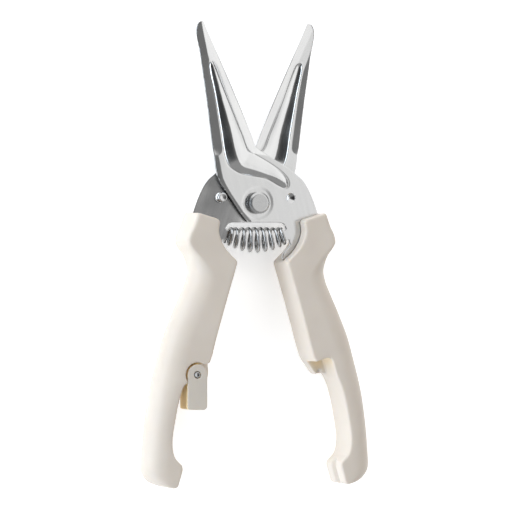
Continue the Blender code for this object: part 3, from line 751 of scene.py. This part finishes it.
def make_right_handle(finish):
    """The handle with the shelf that the lever swings over and the notch for its peg."""
    where = front_frame()
    top = SHELF_CORNER[1] + SHELF_ROUND
    shelf = [(SHELF_LEFT, top), (SHELF_CORNER[0], top), *arc(SHELF_CORNER, SHELF_ROUND, 80, 0, 6),
             (SHELF_CORNER[0] + SHELF_ROUND, SHELF_FOOT), (SHELF_LEFT, SHELF_FOOT)]
    peg = (PEG_REACH - LEVER_IN_HALF.x, LEVER_IN_HALF.y)
    wide = PEG_RADIUS + GAP
    notch = [(peg[0] - wide - NOTCH_FLARE, SHELF_FOOT), *arc(peg, wide, 180, 0, 12),
             (peg[0] + wide, SHELF_FOOT)]
    cutters = common_cutters("right", where)
    cutters.append(tool("right_shelf", *prism(shelf, SHELF, HALF_THICK + PAST), where))
    cutters.append(tool("right_notch", *prism(notch, NOTCH_DEEP, SHELF + 1), where))
    blank = handle_blank("right_handle_blank", UPPER_INNER + RIGHT_TAB + LOWER_INNER, where)
    piece = moulded("right_handle_moulded", blank, cutters, [], VOXEL, finish)

    # Painted bounce light: honey colour painted on the shaded walls under the shelf, strongest at its corner
    def painted_bounce(local):
        x, y, z = local.T
        wall = (z > SHELF - 0.3) & (z < HALF_THICK - WALL_LIP) & (y < SHELF_GLOW_TOP)
        away = np.hypot(x - SHELF_GLOW_AT[0], y - SHELF_GLOW_AT[1])
        return np.where(wall, SHELF_GLOW * np.exp(-(away / SHELF_GLOW_REACH) ** 2), 0.0)
    paint_bounce_light(piece, where, painted_bounce)
    return settle(piece, "front_half", "handle_plastic", "right_handle")


def make_left_handle(finish):
    """The handle with the lever's pocket and the bore for its pin."""
    where = rear_frame()
    pin = (LEVER_IN_HALF.x, LEVER_IN_HALF.y)
    head = arc(pin, LEVER_HALF_WIDTH + LEVER_ROUND, *POCKET_ARC, 28)
    pocket = prism([*POCKET_ABOVE, *head, *POCKET_BELOW], -HALF_THICK - PAST, -SHELF)
    bore = prism([tuple(p) for p in circle(pin, LOCK_PIN_RADIUS + GAP, 32)], -SHELF - 1, HALF_THICK + PAST)
    cutters = common_cutters("left", where)
    cutters += [tool("left_pocket", *pocket, where), tool("left_bore", *bore, where)]
    blank = handle_blank("left_handle_blank", UPPER_INNER + LEFT_NOSE + LOWER_INNER, where)
    piece = moulded("left_handle_moulded", blank, cutters, [], VOXEL, finish)

    # Painted bounce light: honey colour painted on the shaded pocket wall round the lever's head
    def painted_bounce(local):
        x, y, z = local.T
        near = np.hypot(x - pin[0], y - pin[1]) < LEVER_HALF_WIDTH + POCKET_GLOW
        return (near & (z > WALL_LIP - HALF_THICK) & (z < -SHELF + 0.4)) * 1.0
    paint_bounce_light(piece, where, painted_bounce)
    return settle(piece, "rear_half", "handle_plastic", "left_handle")


def make_lever(finish):
    """A flat lever with a round head and a bore, and a peg on its back near the free end."""
    (left, left_drop), (right, right_drop) = LEVER_CORNERS
    half, foot = LEVER_HALF_WIDTH, right_drop - LEVER_LENGTH
    outline = [*arc((0, 0), half, 0, 180, 40), (-half, foot + left),
               *arc((-half + left, foot + left - left_drop), left, 190, 260, 6),
               *arc((half - right, foot + right - right_drop), right, 275, 360, 10)]
    where = lever_frame()
    bore = [tuple(p) for p in circle((0, 0), LOCK_PIN_RADIUS + GAP, 40)]
    cutters = [tool("lever_bore", *prism(bore, LEVER_BACK - 1, LEVER_FRONT + 1), where)]
    peg = [tuple(p) for p in circle((0, -PEG_REACH), PEG_RADIUS, 24)]
    joins = [tool("lever_peg", *prism(peg, PEG_END, LEVER_BACK + 1), where)]
    blank = new_mesh("lever_blank", *prism(outline, LEVER_BACK, LEVER_FRONT), where)
    piece = moulded("lock_lever_moulded", blank, cutters, joins, LEVER_VOXEL, finish)
    facing_left = np.array([-normal.vector.x for normal in piece.data.vertex_normals])

    # Painted shade and bounce light: the lever's left-facing side walls, which lie in shade, are painted
    # honey
    def painted_bounce(local):
        z = local[:, 2]
        side = (z < LEVER_FRONT - 0.5) & (z > LEVER_BACK) & (facing_left > -0.5)
        return side * np.clip(facing_left + 0.4, 0.0, 1.0)
    paint_bounce_light(piece, where, painted_bounce)
    return settle(piece, "lock_lever", "lever_plastic", "lock_lever")


# --- spring ---------------------------------------------------------------------------------------

def make_spring(finish):
    """A round wire wound as a barrel on a bowed axis from lug to lug."""
    seat = Matrix.Rotation(OPEN_ANGLE, 2) @ Vector((SEAT[0] - GAP - WIRE, SEAT[1]))
    radius = seat.x / math.sin(OPEN_ANGLE)
    heart = Vector((0.0, seat.y + radius * math.cos(OPEN_ANGLE), 0.0))
    tilt = math.atan2((PLATE_INNER + PLATE_OUTER) / 2, seat.x)
    where = flat_frame() @ Matrix.Rotation(-tilt, 4, "Y")
    length = 2 * OPEN_ANGLE * radius
    closed = CLOSED_TURNS * (2 * WIRE + GAP)
    sides, per_turn = 14, 44
    steps = int(TURNS * per_turn)
    verts, faces, shares = [], [], []
    for step in range(steps + 1):
        turn = step / per_turn
        if turn < CLOSED_TURNS:
            along = closed * turn / CLOSED_TURNS
        elif turn > TURNS - CLOSED_TURNS:
            along = length - closed * (TURNS - turn) / CLOSED_TURNS
        else:
            along = closed + (length - 2 * closed) * (turn - CLOSED_TURNS) / (TURNS - 2 * CLOSED_TURNS)
        swing = -OPEN_ANGLE + along / radius
        outward = Vector((math.sin(swing), -math.cos(swing), 0.0))
        axis = Vector((math.cos(swing), math.sin(swing), 0.0))
        lift = 2 * math.pi * turn
        spoke = outward * math.cos(lift) - Vector((0, 0, 1)) * math.sin(lift)
        coil = COIL_END + (COIL - COIL_END) * math.sin(math.pi * along / length)
        middle = heart + outward * radius + spoke * coil
        end_round = min(1.0, 0.55 + 0.45 * min(step, steps - step) / 3)
        for side in range(sides):
            angle = 2 * math.pi * side / sides
            verts.append(middle + (spoke * math.cos(angle) + axis * math.sin(angle)) * WIRE * end_round)
            shares.append(along / length)
    for step in range(steps):
        a, b = step * sides, (step + 1) * sides
        faces += [(a + i, a + (i + 1) % sides, b + (i + 1) % sides, b + i) for i in range(sides)]
    faces += [tuple(reversed(range(sides))), tuple(range(steps * sides, (steps + 1) * sides))]
    mesh = new_mesh("return_spring_wound", verts, faces, where)
    piece = add_object("return_spring_wound", mesh, finish, WIRE_EDGE)
    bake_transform(piece)
    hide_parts("return_spring")


# --- pins -----------------------------------------------------------------------------------------

def make_rivet(finish):
    """The headed rivet: a turned head with a bevelled edge and faint tool rings on its face."""
    seat = PLATE_OUTER - DISH_DEPTH + GAP
    back = -(seat + REAR_WASHER + GAP)
    high = seat + RIVET_HIGH
    end = back - RIVET_CLOSED
    rings = [((TOOL_RINGS - i) * RING_STEP, high + RING_DEEP * math.cos(math.pi * i / 2.5))
             for i in range(TOOL_RINGS)]
    profile = [(0.0, end), (RIVET_FACE - 0.1, end), (RIVET_FACE, end + 0.05), (RIVET_HEAD - 0.1, end + 0.55),
               (RIVET_HEAD, end + 0.7), (RIVET_HEAD, back), (RIVET_SHANK, back), (RIVET_SHANK, seat),
               (RIVET_HEAD - 0.1, seat), (RIVET_HEAD, seat + 0.1), (RIVET_HEAD, high - 0.6),
               (RIVET_FACE + 0.16, high - 0.1), (RIVET_FACE + 0.06, high - 0.05),
               (RIVET_FACE - 0.06, high - 0.02), *rings, (0.0, high)]
    piece = turned("pivot_rivet_turned", profile, flat_frame(), finish, 96)
    settle(piece, "rear_half", "rivet_steel", "pivot_rivet")


def make_stop_pin(name, body, node, where, finish):
    """A shouldered pin with a bevelled, countersunk post and a countersunk shank end."""
    step = PLATE_INNER - GAP
    profile = [(0.0, -1.05), (0.4, -1.1), (STOP_POST - 0.75, -1.55), (STOP_POST - 0.55, -1.6),
               (STOP_POST - 0.4, -1.55), (STOP_POST - 0.1, -1.35), (STOP_POST, -1.2),
               (STOP_POST, step - 0.1), (STOP_POST - 0.1, step), (STOP_SHANK, step), (STOP_SHANK, 0.9),
               (STOP_HOLE - 0.05, 1.2), (STOP_HOLE - 0.05, 1.6), (0.55, 0.6), (0.0, 0.55)]
    settle(turned(name, profile, where, finish, 48, STOP_PIN), body, "pin_steel", node)


def make_lock_pin(finish):
    """A tubular pin with a rolled lip."""
    r, low, top = LOCK_PIN_RADIUS, LOCK_PIN_BACK, LEVER_FRONT + 0.1
    profile = [(0.0, low), (r - 0.2, low), (r, low + 0.2), (r, top - 0.35),
               (r - 0.06, top - 0.15), (r - 0.2, top - 0.03), (r - 0.35, top), (r - 0.48, top - 0.06),
               (r - 0.6, top - 0.3), (r - 0.66, top - 1.2), (0.0, top - 1.3)]
    piece = turned("lock_pin_turned", profile, lever_frame(), finish, 48)
    settle(piece, "rear_half", "pin_steel", "lock_pin")


# --- materials ------------------------------------------------------------------------------------

def node(tree, kind, **values):
    made = tree.nodes.new(kind)
    for name, value in values.items():
        setattr(made, name, value)
    return made


def link(tree, start, end):
    tree.links.new(start, end)


def scaled_noise(tree, scale, turn, detail=2.0, roughness=0.5):
    """Noise in the piece's own space, stretched by three scales and turned about Z."""
    place = node(tree, "ShaderNodeTexCoord")
    spin = node(tree, "ShaderNodeMapping")
    spin.inputs["Rotation"].default_value = (0.0, 0.0, turn)
    stretch = node(tree, "ShaderNodeMapping")
    stretch.inputs["Scale"].default_value = scale
    noise = node(tree, "ShaderNodeTexNoise")
    noise.inputs["Scale"].default_value = 1.0
    noise.inputs["Detail"].default_value = detail
    noise.inputs["Roughness"].default_value = roughness
    link(tree, place.outputs["Object"], spin.inputs["Vector"])
    link(tree, spin.outputs["Vector"], stretch.inputs["Vector"])
    link(tree, stretch.outputs["Vector"], noise.inputs["Vector"])
    return noise.outputs["Fac"]


def spread(tree, value, low, high):
    """Takes a noise value to a range."""
    made = node(tree, "ShaderNodeMapRange")
    made.inputs["From Min"].default_value = 0.3
    made.inputs["From Max"].default_value = 0.7
    made.inputs["To Min"].default_value = low
    made.inputs["To Max"].default_value = high
    link(tree, value, made.inputs["Value"])
    return made.outputs["Result"]


def bump(tree, shader, value, strength, depth):
    made = node(tree, "ShaderNodeBump")
    made.inputs["Strength"].default_value = strength
    made.inputs["Distance"].default_value = depth
    link(tree, value, made.inputs["Height"])
    link(tree, made.outputs["Normal"], shader.inputs["Normal"])


def tinted(tree, shader, value, dark, light):
    """Varies the base colour between two tones."""
    mix = node(tree, "ShaderNodeMix", data_type="RGBA")
    mix.inputs["A"].default_value = (*dark, 1.0)
    mix.inputs["B"].default_value = (*light, 1.0)
    link(tree, value, mix.inputs["Factor"])
    link(tree, mix.outputs["Result"], shader.inputs["Base Color"])
    return mix


def start_material(name):
    made = bpy.data.materials.new(name)
    made.use_nodes = True
    return made, made.node_tree, made.node_tree.nodes["Principled BSDF"]


def steel(name, turn, low, high, tone=0.62, grain=(900.0, 40.0, 900.0), depth=4e-6):
    """Ground and polished steel: fine scratches along the piece, and slow changes of polish."""
    made, tree, shader = start_material(name)
    shader.inputs["Metallic"].default_value = 1.0
    scratches = scaled_noise(tree, grain, turn, 3.0, 0.6)
    cloud = scaled_noise(tree, (90.0, 90.0, 90.0), turn, 2.0)
    dark, light = (tone * 0.96,) * 3, (tone * 1.04, tone * 1.04, tone * 1.03)
    tinted(tree, shader, spread(tree, cloud, 0.0, 1.0), dark, light)
    both = node(tree, "ShaderNodeMath", operation="ADD")
    link(tree, spread(tree, scratches, 0.0, (high - low) * 0.5), both.inputs[0])
    link(tree, spread(tree, cloud, low, (low + high) * 0.5), both.inputs[1])
    link(tree, both.outputs["Value"], shader.inputs["Roughness"])
    bump(tree, shader, scratches, 0.35, depth)
    return made


def plastic(name, light, dark):
    """Matt moulded plastic with a fine spark-eroded grain; deep walls get a painted honey bounce light."""
    made, tree, shader = start_material(name)
    shader.inputs["Specular IOR Level"].default_value = 0.45
    shader.inputs["Subsurface Weight"].default_value = 0.12
    shader.inputs["Subsurface Radius"].default_value = (1.0, 0.62, 0.32)
    shader.inputs["Subsurface Scale"].default_value = 0.002
    grain = scaled_noise(tree, (5200.0, 5200.0, 5200.0), 0.0, 2.0)
    cloud = scaled_noise(tree, (60.0, 60.0, 60.0), 0.0, 2.0)
    mix = tinted(tree, shader, spread(tree, cloud, 0.0, 1.0), dark, light)
    # Painted bounce light: the stored attribute mixes the honey colour into the base colour on shaded walls
    bounce_mix = node(tree, "ShaderNodeMix", data_type="RGBA")
    painted_bounce = node(tree, "ShaderNodeAttribute", attribute_name="painted_bounce")
    bounce_mix.inputs["B"].default_value = (*PAINTED_BOUNCE_HONEY, 1.0)
    link(tree, painted_bounce.outputs["Fac"], bounce_mix.inputs["Factor"])
    link(tree, mix.outputs["Result"], bounce_mix.inputs["A"])
    link(tree, bounce_mix.outputs["Result"], shader.inputs["Base Color"])
    link(tree, spread(tree, grain, 0.42, 0.54), shader.inputs["Roughness"])
    bump(tree, shader, grain, 0.25, 0.00001)
    return made


# --- stage ----------------------------------------------------------------------------------------

def make_floor():
    """A plain white floor that glows a little, so that it stays white round the tool."""
    size = 6.0
    corners = [(-size, -size, 0), (size, -size, 0), (size, size, 0), (-size, size, 0)]
    mesh = bpy.data.meshes.new("floor")
    mesh.from_pydata(corners, [], [(0, 1, 2, 3)])
    made, _, shader = start_material("floor_white")
    shader.inputs["Base Color"].default_value = (0.93, 0.93, 0.93, 1.0)
    shader.inputs["Roughness"].default_value = 0.9
    shader.inputs["Specular IOR Level"].default_value = 0.1
    shader.inputs["Emission Color"].default_value = (1.0, 1.0, 1.0, 1.0)
    shader.inputs["Emission Strength"].default_value = 0.45
    floor = add_object("floor", mesh, made)
    floor.location.z = CAD_LOW.z - 0.0004


def fade_node(tree, value, low, high):
    """0 where the value is low, 1 where it is high, smooth between."""
    made = node(tree, "ShaderNodeMapRange", interpolation_type="SMOOTHSTEP")
    made.inputs["From Min"].default_value = low
    made.inputs["From Max"].default_value = high
    link(tree, value, made.inputs["Value"])
    return made.outputs["Result"]


def sky_ramp(tree, across, up, peak):
    """The light by its angle about Y: a cool strip low on the left, bright on the right, dim overhead."""
    angle = node(tree, "ShaderNodeMath", operation="ARCTAN2")
    link(tree, across, angle.inputs[0])
    link(tree, up, angle.inputs[1])
    place = node(tree, "ShaderNodeMapRange")
    place.inputs["From Min"].default_value = math.radians(-90)
    place.inputs["From Max"].default_value = math.radians(90)
    link(tree, angle.outputs["Value"], place.inputs["Value"])
    levels = node(tree, "ShaderNodeValToRGB")
    elements = levels.color_ramp.elements
    while len(elements) < len(SKY_STOPS):
        elements.new(0.5)
    for element, (degrees, level) in zip(elements, SKY_STOPS):
        element.position = (degrees + 90) / 180
        tint = STRIP_TINT if degrees < STRIP_EDGE else (1.0, 1.0, 1.0)
        element.color = (*(level / peak * channel for channel in tint), 1.0)
    link(tree, place.outputs["Result"], levels.inputs["Fac"])
    return levels.outputs["Color"]


def make_studio():
    """Soft light given by direction: the sky's levels, with a bright panel at +Y and a dim one at -Y."""
    world = bpy.data.worlds.new("studio")
    bpy.context.scene.world = world
    world.use_nodes = True
    tree = world.node_tree
    tree.nodes.clear()
    place = node(tree, "ShaderNodeTexCoord")
    axes = node(tree, "ShaderNodeSeparateXYZ")
    link(tree, place.outputs["Generated"], axes.inputs["Vector"])
    peak = max(level for _, level in SKY_STOPS)
    light = sky_ramp(tree, axes.outputs["X"], axes.outputs["Z"], peak)
    raised = fade_node(tree, axes.outputs["Z"], *PANEL_FOOT)
    for low, high, level in END_PANELS:
        both = node(tree, "ShaderNodeMath", operation="MULTIPLY")
        link(tree, fade_node(tree, axes.outputs["Y"], low, high), both.inputs[0])
        link(tree, raised, both.inputs[1])
        mix = node(tree, "ShaderNodeMix", data_type="RGBA")
        mix.inputs["B"].default_value = (*(level / peak,) * 3, 1.0)
        link(tree, both.outputs["Value"], mix.inputs["Factor"])
        link(tree, light, mix.inputs["A"])
        light = mix.outputs["Result"]
    background = node(tree, "ShaderNodeBackground")
    background.inputs["Strength"].default_value = peak
    link(tree, light, background.inputs["Color"])
    output = node(tree, "ShaderNodeOutputWorld")
    link(tree, background.outputs["Background"], output.inputs["Surface"])


def make_camera():
    """A long lens, looking down at the tool from 22 degrees to its left."""
    back = Vector((-math.sin(VIEW_LEAN), 0.0, math.cos(VIEW_LEAN)))
    right = Vector((math.cos(VIEW_LEAN), 0.0, math.sin(VIEW_LEAN)))
    data = bpy.data.cameras.new("camera")
    data.sensor_width = 36.0
    data.lens = data.sensor_width * VIEW_AWAY / VIEW_WIDTH
    data.clip_end = 30.0
    camera = bpy.data.objects.new("camera", data)
    bpy.context.scene.collection.objects.link(camera)
    turn = Matrix((right, back.cross(right), back)).transposed().to_4x4()
    middle = Vector((*VIEW_MIDDLE, PIVOT.z))
    camera.matrix_world = Matrix.Translation(middle + back * VIEW_AWAY) @ turn
    bpy.context.scene.camera = camera
    bpy.context.scene.view_settings.view_transform = "Standard"


def make_blades():
    """Both blades from one plan, each ground along its own length."""
    plan = sheet_plan()
    front = steel("front_blade_steel", -OPEN_ANGLE, 0.12, 0.26)
    rear = steel("rear_blade_steel", OPEN_ANGLE, 0.13, 0.28)
    blade = make_blade("front_blade_pressed", plan, front_frame(), front)
    settle(blade, "front_half", "blade_steel", "front_blade")
    blade = make_blade("rear_blade_pressed", plan, rear_frame(), rear)
    settle(blade, "rear_half", "blade_steel", "rear_blade")


def finish_washers():
    """The washers keep their CAD shape."""
    washers = steel("washer_steel", 0.0, 0.25, 0.4, tone=0.58, grain=(300.0,) * 3, depth=3e-6)
    for name in ("blade_washer", "rear_washer", "lever_washer"):
        mesh = frame["nodes"][name].data
        mesh.materials.clear()
        mesh.materials.append(washers)


def main():
    make_camera()
    make_studio()
    make_floor()
    make_blades()
    bright = steel("pin_steel", 0.0, 0.1, 0.2, tone=0.52, grain=(500.0,) * 3, depth=4e-7)
    make_rivet(steel("rivet_steel", 0.0, 0.2, 0.32, tone=0.50, grain=(700.0,) * 3, depth=5e-7))
    make_stop_pin("front_stop_pin_turned", "front_half", "front_stop_pin", front_frame(), bright)
    make_stop_pin("rear_stop_pin_turned", "rear_half", "rear_stop_pin", rear_frame(), bright)
    make_lock_pin(bright)
    make_spring(steel("spring_steel", 0.0, 0.1, 0.2, tone=0.38, grain=(400.0,) * 3, depth=6e-7))
    cream = plastic("handle_plastic", CREAM, CREAM_SHADE)
    make_right_handle(cream)
    make_left_handle(cream)
    make_lever(plastic("lever_plastic", LEVER_CREAM, LEVER_SHADE))
    finish_washers()


main()
